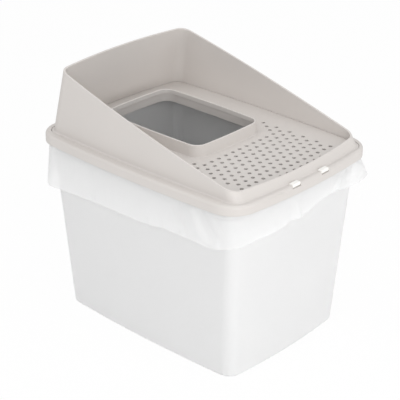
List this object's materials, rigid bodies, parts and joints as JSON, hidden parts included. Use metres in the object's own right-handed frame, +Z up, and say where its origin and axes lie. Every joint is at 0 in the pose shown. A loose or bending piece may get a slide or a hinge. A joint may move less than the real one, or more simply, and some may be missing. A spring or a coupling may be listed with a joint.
{
  "type": "top entry litter box",
  "caption": "Top entry cat litter box: tapered tub with a clamped liner bag, and a hinged sloping hood with a perforated landing tray, an entry collar and front latches.",
  "frame": {"origin": "middle of the box in plan, at the plane of the foot that the tub stands on", "axes": "+Z up; +Y from the low lip and latches at the front towards the tall wall and hinge at the back; +X to the right when facing +Y"},
  "size_m": [0.4004, 0.517, 0.4951],
  "materials": {
    "tub_white": "satin moulded",
    "bag_film": "thin translucent film",
    "hood_greige": "satin moulded",
    "latch_white": "gloss moulded"
  },
  "bodies": {
    "tub_body": {"tub": "tub_white", "liner_bag": "bag_film"},
    "frame_body": {"rim_frame": "hood_greige"},
    "hood_body": {"hood": "hood_greige", "landing_tray": "hood_greige"},
    "latch_left_body": {"front_latch_left": "latch_white"},
    "latch_right_body": {"front_latch_right": "latch_white"}
  },
  "joints": [
    {"name": "frame_lift", "type": "slide", "parent": "tub_body", "child": "frame_body", "axis": [0, 0, 1], "range_m": [0, 0.15]},
    {"name": "hood_hinge", "type": "hinge", "parent": "frame_body", "child": "hood_body", "pos_m": [0, 0.2488, 0.3713], "axis": [-1, 0, 0], "range_deg": [0, 100]},
    {"name": "latch_left", "type": "hinge", "parent": "frame_body", "child": "latch_left_body", "pos_m": [-0.0395, -0.2536, 0.365], "axis": [1, 0, 0], "range_deg": [0, 60]},
    {"name": "latch_right", "type": "hinge", "parent": "frame_body", "child": "latch_right_body", "pos_m": [0.0395, -0.2536, 0.365], "axis": [1, 0, 0], "range_deg": [0, 60]}
  ]
}
